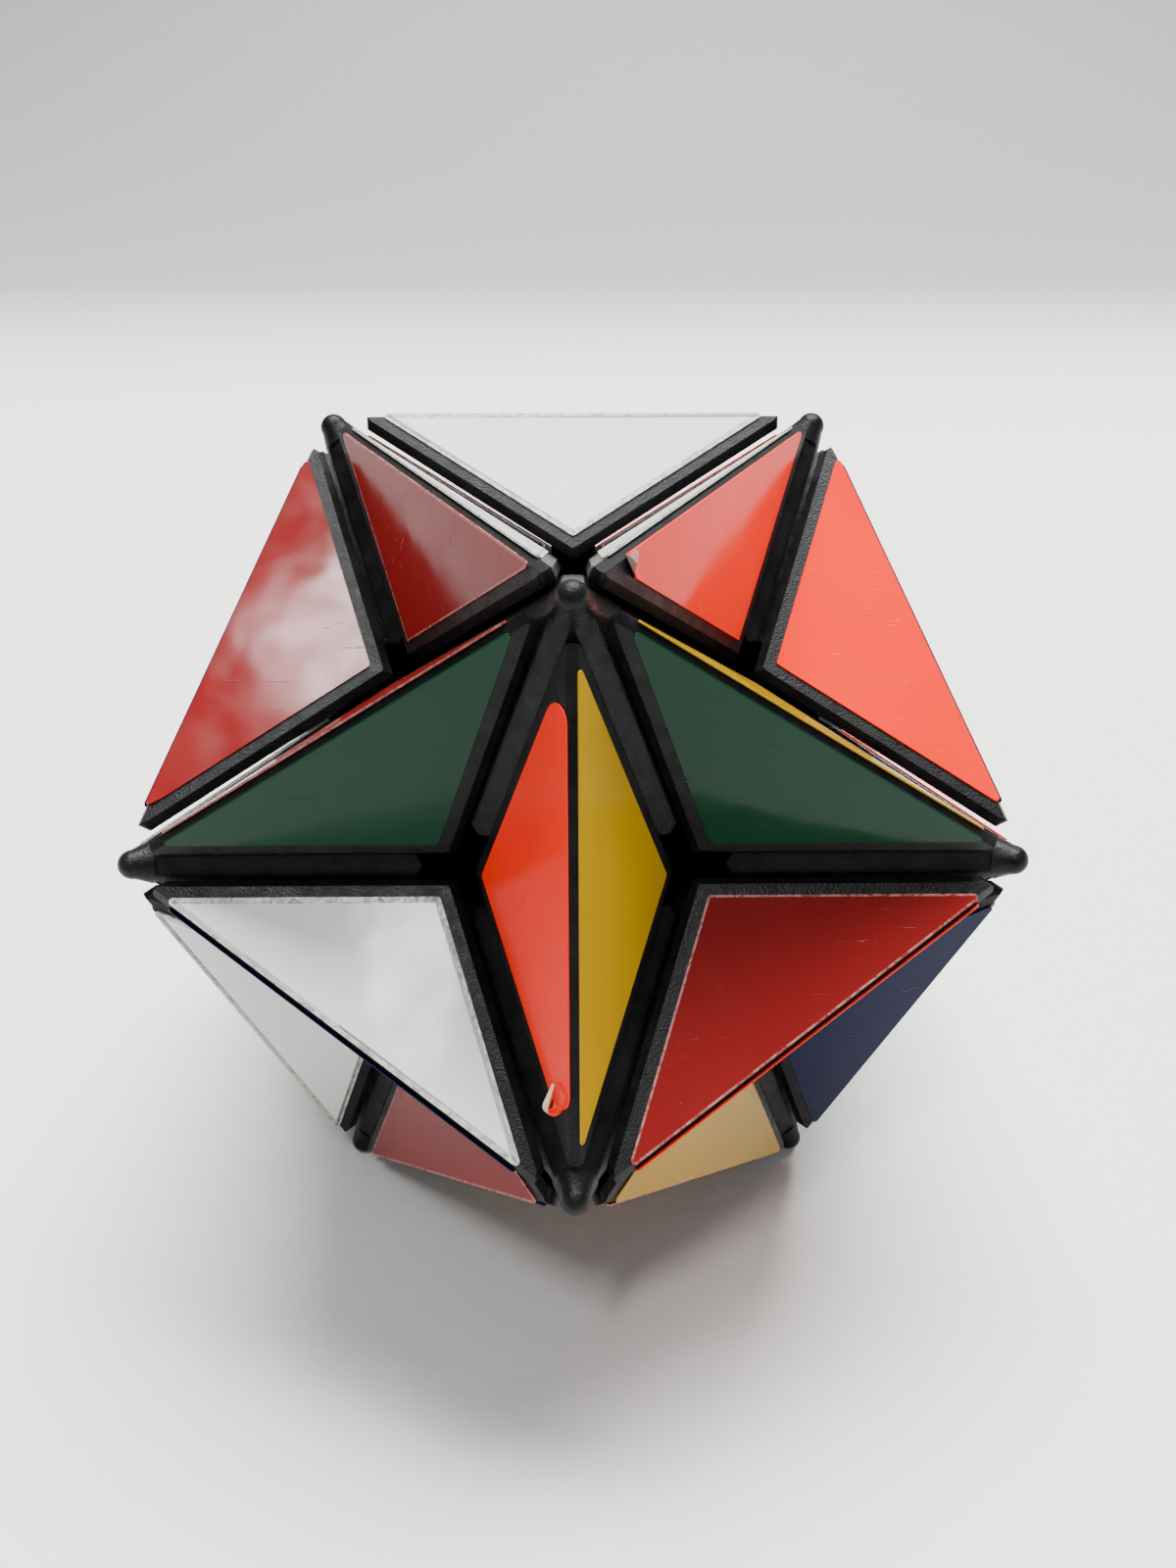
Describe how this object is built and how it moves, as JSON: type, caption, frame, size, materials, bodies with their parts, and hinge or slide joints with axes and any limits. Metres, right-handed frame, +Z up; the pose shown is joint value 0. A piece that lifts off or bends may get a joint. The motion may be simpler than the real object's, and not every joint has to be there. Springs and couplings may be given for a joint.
{
  "type": "star twisty puzzle",
  "caption": "Handheld star-shaped twisty puzzle of black plastic: five-armed stars of coloured wedges turn about a hidden core at every point.",
  "frame": {"origin": "on the table plane, below the puzzle's centre, where it rests on three noses", "axes": "+Z up through a three-fold axis; -Y to the front, where one of the three top star points is; +X to its right when seen from the front"},
  "size_m": [0.0726, 0.0834, 0.068],
  "materials": {
    "black_plastic": "fine-grained semi-gloss, worn shiny at the edges",
    "core_plastic": "as moulded",
    "steel": "plain zinc"
  },
  "bodies": {
    "core": {"core_half_front": "core_plastic", "core_half_back": "core_plastic"},
    "star_top_front": {"centre_piece_top_front": "black_plastic", "spindle_screw_top_front": "steel"},
    "star_top_right": {"centre_piece_top_right": "black_plastic", "spindle_screw_top_right": "steel"},
    "star_top_left": {"centre_piece_top_left": "black_plastic", "spindle_screw_top_left": "steel"},
    "star_upper_right": {"centre_piece_upper_right": "black_plastic", "spindle_screw_upper_right": "steel"},
    "star_upper_left": {"centre_piece_upper_left": "black_plastic", "spindle_screw_upper_left": "steel"},
    "star_upper_back": {"centre_piece_upper_back": "black_plastic", "spindle_screw_upper_back": "steel"},
    "star_lower_front": {"centre_piece_lower_front": "black_plastic", "spindle_screw_lower_front": "steel"},
    "star_lower_right": {"centre_piece_lower_right": "black_plastic", "spindle_screw_lower_right": "steel"},
    "star_lower_left": {"centre_piece_lower_left": "black_plastic", "spindle_screw_lower_left": "steel"},
    "star_base_right": {"centre_piece_base_right": "black_plastic", "spindle_screw_base_right": "steel"},
    "star_base_left": {"centre_piece_base_left": "black_plastic", "spindle_screw_base_left": "steel"},
    "star_base_back": {"centre_piece_base_back": "black_plastic", "spindle_screw_base_back": "steel"},
    "edge_top_front_to_top_right": {"edge_piece_top_front_to_top_right": "black_plastic"},
    "edge_top_front_to_top_left": {"edge_piece_top_front_to_top_left": "black_plastic"},
    "edge_top_front_to_upper_right": {"edge_piece_top_front_to_upper_right": "black_plastic"},
    "edge_top_front_to_upper_left": {"edge_piece_top_front_to_upper_left": "black_plastic"},
    "edge_top_front_to_lower_front": {"edge_piece_top_front_to_lower_front": "black_plastic"},
    "edge_top_right_to_top_left": {"edge_piece_top_right_to_top_left": "black_plastic"},
    "edge_top_right_to_upper_right": {"edge_piece_top_right_to_upper_right": "black_plastic"},
    "edge_top_right_to_upper_back": {"edge_piece_top_right_to_upper_back": "black_plastic"},
    "edge_top_right_to_lower_right": {"edge_piece_top_right_to_lower_right": "black_plastic"},
    "edge_top_left_to_upper_left": {"edge_piece_top_left_to_upper_left": "black_plastic"},
    "edge_top_left_to_upper_back": {"edge_piece_top_left_to_upper_back": "black_plastic"},
    "edge_top_left_to_lower_left": {"edge_piece_top_left_to_lower_left": "black_plastic"},
    "edge_upper_right_to_lower_front": {"edge_piece_upper_right_to_lower_front": "black_plastic"},
    "edge_upper_right_to_lower_right": {"edge_piece_upper_right_to_lower_right": "black_plastic"},
    "edge_upper_right_to_base_right": {"edge_piece_upper_right_to_base_right": "black_plastic"},
    "edge_upper_left_to_lower_front": {"edge_piece_upper_left_to_lower_front": "black_plastic"},
    "edge_upper_left_to_lower_left": {"edge_piece_upper_left_to_lower_left": "black_plastic"},
    "edge_upper_left_to_base_left": {"edge_piece_upper_left_to_base_left": "black_plastic"},
    "edge_upper_back_to_lower_right": {"edge_piece_upper_back_to_lower_right": "black_plastic"},
    "edge_upper_back_to_lower_left": {"edge_piece_upper_back_to_lower_left": "black_plastic"},
    "edge_upper_back_to_base_back": {"edge_piece_upper_back_to_base_back": "black_plastic"},
    "edge_lower_front_to_base_right": {"edge_piece_lower_front_to_base_right": "black_plastic"},
    "edge_lower_front_to_base_left": {"edge_piece_lower_front_to_base_left": "black_plastic"},
    "edge_lower_right_to_base_right": {"edge_piece_lower_right_to_base_right": "black_plastic"},
    "edge_lower_right_to_base_back": {"edge_piece_lower_right_to_base_back": "black_plastic"},
    "edge_lower_left_to_base_left": {"edge_piece_lower_left_to_base_left": "black_plastic"},
    "edge_lower_left_to_base_back": {"edge_piece_lower_left_to_base_back": "black_plastic"},
    "edge_base_right_to_base_left": {"edge_piece_base_right_to_base_left": "black_plastic"},
    "edge_base_right_to_base_back": {"edge_piece_base_right_to_base_back": "black_plastic"},
    "edge_base_left_to_base_back": {"edge_piece_base_left_to_base_back": "black_plastic"}
  },
  "joints": [
    {"name": "turn_top_front", "type": "hinge", "parent": "core", "child": "star_top_front", "pos_m": [0, 0, 0.03401], "axis": [0, -0.6071, 0.7947], "range_deg": [-144, 216]},
    {"name": "turn_top_right", "type": "hinge", "parent": "core", "child": "star_top_right", "pos_m": [0, 0, 0.03401], "axis": [0.5257, 0.3035, 0.7947], "range_deg": [-144, 216]},
    {"name": "turn_top_left", "type": "hinge", "parent": "core", "child": "star_top_left", "pos_m": [0, 0, 0.03401], "axis": [-0.5257, 0.3035, 0.7947], "range_deg": [-144, 216]},
    {"name": "turn_upper_right", "type": "hinge", "parent": "core", "child": "star_upper_right", "pos_m": [0, 0, 0.03401], "axis": [0.8507, -0.4911, 0.1876], "range_deg": [-144, 216]},
    {"name": "turn_upper_left", "type": "hinge", "parent": "core", "child": "star_upper_left", "pos_m": [0, 0, 0.03401], "axis": [-0.8507, -0.4911, 0.1876], "range_deg": [-144, 216]},
    {"name": "turn_upper_back", "type": "hinge", "parent": "core", "child": "star_upper_back", "pos_m": [0, 0, 0.03401], "axis": [0, 0.9822, 0.1876], "range_deg": [-144, 216]},
    {"name": "turn_lower_front", "type": "hinge", "parent": "core", "child": "star_lower_front", "pos_m": [0, 0, 0.03401], "axis": [0, -0.9822, -0.1876], "range_deg": [-144, 216]},
    {"name": "turn_lower_right", "type": "hinge", "parent": "core", "child": "star_lower_right", "pos_m": [0, 0, 0.03401], "axis": [0.8507, 0.4911, -0.1876], "range_deg": [-144, 216]},
    {"name": "turn_lower_left", "type": "hinge", "parent": "core", "child": "star_lower_left", "pos_m": [0, 0, 0.03401], "axis": [-0.8507, 0.4911, -0.1876], "range_deg": [-144, 216]},
    {"name": "turn_base_right", "type": "hinge", "parent": "core", "child": "star_base_right", "pos_m": [0, 0, 0.03401], "axis": [0.5257, -0.3035, -0.7947], "range_deg": [-144, 216]},
    {"name": "turn_base_left", "type": "hinge", "parent": "core", "child": "star_base_left", "pos_m": [0, 0, 0.03401], "axis": [-0.5257, -0.3035, -0.7947], "range_deg": [-144, 216]},
    {"name": "turn_base_back", "type": "hinge", "parent": "core", "child": "star_base_back", "pos_m": [0, 0, 0.03401], "axis": [0, 0.6071, -0.7947], "range_deg": [-144, 216]},
    {"name": "carry_top_front_to_top_right", "type": "hinge", "parent": "star_top_right", "child": "edge_top_front_to_top_right", "pos_m": [0, 0, 0.03401], "axis": [0, -0.6071, 0.7947], "range_deg": [-144, 216]},
    {"name": "carry_top_front_to_top_left", "type": "hinge", "parent": "star_top_front", "child": "edge_top_front_to_top_left", "pos_m": [0, 0, 0.03401], "axis": [-0.5257, 0.3035, 0.7947], "range_deg": [-144, 216]},
    {"name": "carry_top_front_to_upper_right", "type": "hinge", "parent": "star_top_front", "child": "edge_top_front_to_upper_right", "pos_m": [0, 0, 0.03401], "axis": [0.8507, -0.4911, 0.1876], "range_deg": [-144, 216]},
    {"name": "carry_top_front_to_upper_left", "type": "hinge", "parent": "star_upper_left", "child": "edge_top_front_to_upper_left", "pos_m": [0, 0, 0.03401], "axis": [0, -0.6071, 0.7947], "range_deg": [-144, 216]},
    {"name": "carry_top_front_to_lower_front", "type": "hinge", "parent": "star_top_front", "child": "edge_top_front_to_lower_front", "pos_m": [0, 0, 0.03401], "axis": [0, -0.9822, -0.1876], "range_deg": [-144, 216]},
    {"name": "carry_top_right_to_top_left", "type": "hinge", "parent": "star_top_left", "child": "edge_top_right_to_top_left", "pos_m": [0, 0, 0.03401], "axis": [0.5257, 0.3035, 0.7947], "range_deg": [-144, 216]},
    {"name": "carry_top_right_to_upper_right", "type": "hinge", "parent": "star_upper_right", "child": "edge_top_right_to_upper_right", "pos_m": [0, 0, 0.03401], "axis": [0.5257, 0.3035, 0.7947], "range_deg": [-144, 216]},
    {"name": "carry_top_right_to_upper_back", "type": "hinge", "parent": "star_top_right", "child": "edge_top_right_to_upper_back", "pos_m": [0, 0, 0.03401], "axis": [0, 0.9822, 0.1876], "range_deg": [-144, 216]},
    {"name": "carry_top_right_to_lower_right", "type": "hinge", "parent": "star_top_right", "child": "edge_top_right_to_lower_right", "pos_m": [0, 0, 0.03401], "axis": [0.8507, 0.4911, -0.1876], "range_deg": [-144, 216]},
    {"name": "carry_top_left_to_upper_left", "type": "hinge", "parent": "star_top_left", "child": "edge_top_left_to_upper_left", "pos_m": [0, 0, 0.03401], "axis": [-0.8507, -0.4911, 0.1876], "range_deg": [-144, 216]},
    {"name": "carry_top_left_to_upper_back", "type": "hinge", "parent": "star_upper_back", "child": "edge_top_left_to_upper_back", "pos_m": [0, 0, 0.03401], "axis": [-0.5257, 0.3035, 0.7947], "range_deg": [-144, 216]},
    {"name": "carry_top_left_to_lower_left", "type": "hinge", "parent": "star_top_left", "child": "edge_top_left_to_lower_left", "pos_m": [0, 0, 0.03401], "axis": [-0.8507, 0.4911, -0.1876], "range_deg": [-144, 216]},
    {"name": "carry_upper_right_to_lower_front", "type": "hinge", "parent": "star_upper_right", "child": "edge_upper_right_to_lower_front", "pos_m": [0, 0, 0.03401], "axis": [0, -0.9822, -0.1876], "range_deg": [-144, 216]},
    {"name": "carry_upper_right_to_lower_right", "type": "hinge", "parent": "star_upper_right", "child": "edge_upper_right_to_lower_right", "pos_m": [0, 0, 0.03401], "axis": [0.8507, 0.4911, -0.1876], "range_deg": [-144, 216]},
    {"name": "carry_upper_right_to_base_right", "type": "hinge", "parent": "star_upper_right", "child": "edge_upper_right_to_base_right", "pos_m": [0, 0, 0.03401], "axis": [0.5257, -0.3035, -0.7947], "range_deg": [-144, 216]},
    {"name": "carry_upper_left_to_lower_front", "type": "hinge", "parent": "star_upper_left", "child": "edge_upper_left_to_lower_front", "pos_m": [0, 0, 0.03401], "axis": [0, -0.9822, -0.1876], "range_deg": [-144, 216]},
    {"name": "carry_upper_left_to_lower_left", "type": "hinge", "parent": "star_upper_left", "child": "edge_upper_left_to_lower_left", "pos_m": [0, 0, 0.03401], "axis": [-0.8507, 0.4911, -0.1876], "range_deg": [-144, 216]},
    {"name": "carry_upper_left_to_base_left", "type": "hinge", "parent": "star_upper_left", "child": "edge_upper_left_to_base_left", "pos_m": [0, 0, 0.03401], "axis": [-0.5257, -0.3035, -0.7947], "range_deg": [-144, 216]},
    {"name": "carry_upper_back_to_lower_right", "type": "hinge", "parent": "star_upper_back", "child": "edge_upper_back_to_lower_right", "pos_m": [0, 0, 0.03401], "axis": [0.8507, 0.4911, -0.1876], "range_deg": [-144, 216]},
    {"name": "carry_upper_back_to_lower_left", "type": "hinge", "parent": "star_upper_back", "child": "edge_upper_back_to_lower_left", "pos_m": [0, 0, 0.03401], "axis": [-0.8507, 0.4911, -0.1876], "range_deg": [-144, 216]},
    {"name": "carry_upper_back_to_base_back", "type": "hinge", "parent": "star_upper_back", "child": "edge_upper_back_to_base_back", "pos_m": [0, 0, 0.03401], "axis": [0, 0.6071, -0.7947], "range_deg": [-144, 216]},
    {"name": "carry_lower_front_to_base_right", "type": "hinge", "parent": "star_lower_front", "child": "edge_lower_front_to_base_right", "pos_m": [0, 0, 0.03401], "axis": [0.5257, -0.3035, -0.7947], "range_deg": [-144, 216]},
    {"name": "carry_lower_front_to_base_left", "type": "hinge", "parent": "star_base_left", "child": "edge_lower_front_to_base_left", "pos_m": [0, 0, 0.03401], "axis": [0, -0.9822, -0.1876], "range_deg": [-144, 216]},
    {"name": "carry_lower_right_to_base_right", "type": "hinge", "parent": "star_base_right", "child": "edge_lower_right_to_base_right", "pos_m": [0, 0, 0.03401], "axis": [0.8507, 0.4911, -0.1876], "range_deg": [-144, 216]},
    {"name": "carry_lower_right_to_base_back", "type": "hinge", "parent": "star_lower_right", "child": "edge_lower_right_to_base_back", "pos_m": [0, 0, 0.03401], "axis": [0, 0.6071, -0.7947], "range_deg": [-144, 216]},
    {"name": "carry_lower_left_to_base_left", "type": "hinge", "parent": "star_lower_left", "child": "edge_lower_left_to_base_left", "pos_m": [0, 0, 0.03401], "axis": [-0.5257, -0.3035, -0.7947], "range_deg": [-144, 216]},
    {"name": "carry_lower_left_to_base_back", "type": "hinge", "parent": "star_base_back", "child": "edge_lower_left_to_base_back", "pos_m": [0, 0, 0.03401], "axis": [-0.8507, 0.4911, -0.1876], "range_deg": [-144, 216]},
    {"name": "carry_base_right_to_base_left", "type": "hinge", "parent": "star_base_right", "child": "edge_base_right_to_base_left", "pos_m": [0, 0, 0.03401], "axis": [-0.5257, -0.3035, -0.7947], "range_deg": [-144, 216]},
    {"name": "carry_base_right_to_base_back", "type": "hinge", "parent": "star_base_back", "child": "edge_base_right_to_base_back", "pos_m": [0, 0, 0.03401], "axis": [0.5257, -0.3035, -0.7947], "range_deg": [-144, 216]},
    {"name": "carry_base_left_to_base_back", "type": "hinge", "parent": "star_base_left", "child": "edge_base_left_to_base_back", "pos_m": [0, 0, 0.03401], "axis": [0, 0.6071, -0.7947], "range_deg": [-144, 216]}
  ],
  "couplings": [
    {"joint": "carry_top_front_to_top_right", "follows": "turn_top_front", "ratio": 1},
    {"joint": "carry_top_front_to_top_left", "follows": "turn_top_left", "ratio": 1},
    {"joint": "carry_top_front_to_upper_right", "follows": "turn_upper_right", "ratio": 1},
    {"joint": "carry_top_front_to_upper_left", "follows": "turn_top_front", "ratio": 1},
    {"joint": "carry_top_front_to_lower_front", "follows": "turn_lower_front", "ratio": 1},
    {"joint": "carry_top_right_to_top_left", "follows": "turn_top_right", "ratio": 1},
    {"joint": "carry_top_right_to_upper_right", "follows": "turn_top_right", "ratio": 1},
    {"joint": "carry_top_right_to_upper_back", "follows": "turn_upper_back", "ratio": 1},
    {"joint": "carry_top_right_to_lower_right", "follows": "turn_lower_right", "ratio": 1},
    {"joint": "carry_top_left_to_upper_left", "follows": "turn_upper_left", "ratio": 1},
    {"joint": "carry_top_left_to_upper_back", "follows": "turn_top_left", "ratio": 1},
    {"joint": "carry_top_left_to_lower_left", "follows": "turn_lower_left", "ratio": 1},
    {"joint": "carry_upper_right_to_lower_front", "follows": "turn_lower_front", "ratio": 1},
    {"joint": "carry_upper_right_to_lower_right", "follows": "turn_lower_right", "ratio": 1},
    {"joint": "carry_upper_right_to_base_right", "follows": "turn_base_right", "ratio": 1},
    {"joint": "carry_upper_left_to_lower_front", "follows": "turn_lower_front", "ratio": 1},
    {"joint": "carry_upper_left_to_lower_left", "follows": "turn_lower_left", "ratio": 1},
    {"joint": "carry_upper_left_to_base_left", "follows": "turn_base_left", "ratio": 1},
    {"joint": "carry_upper_back_to_lower_right", "follows": "turn_lower_right", "ratio": 1},
    {"joint": "carry_upper_back_to_lower_left", "follows": "turn_lower_left", "ratio": 1},
    {"joint": "carry_upper_back_to_base_back", "follows": "turn_base_back", "ratio": 1},
    {"joint": "carry_lower_front_to_base_right", "follows": "turn_base_right", "ratio": 1},
    {"joint": "carry_lower_front_to_base_left", "follows": "turn_lower_front", "ratio": 1},
    {"joint": "carry_lower_right_to_base_right", "follows": "turn_lower_right", "ratio": 1},
    {"joint": "carry_lower_right_to_base_back", "follows": "turn_base_back", "ratio": 1},
    {"joint": "carry_lower_left_to_base_left", "follows": "turn_base_left", "ratio": 1},
    {"joint": "carry_lower_left_to_base_back", "follows": "turn_lower_left", "ratio": 1},
    {"joint": "carry_base_right_to_base_left", "follows": "turn_base_left", "ratio": 1},
    {"joint": "carry_base_right_to_base_back", "follows": "turn_base_right", "ratio": 1},
    {"joint": "carry_base_left_to_base_back", "follows": "turn_base_back", "ratio": 1}
  ]
}
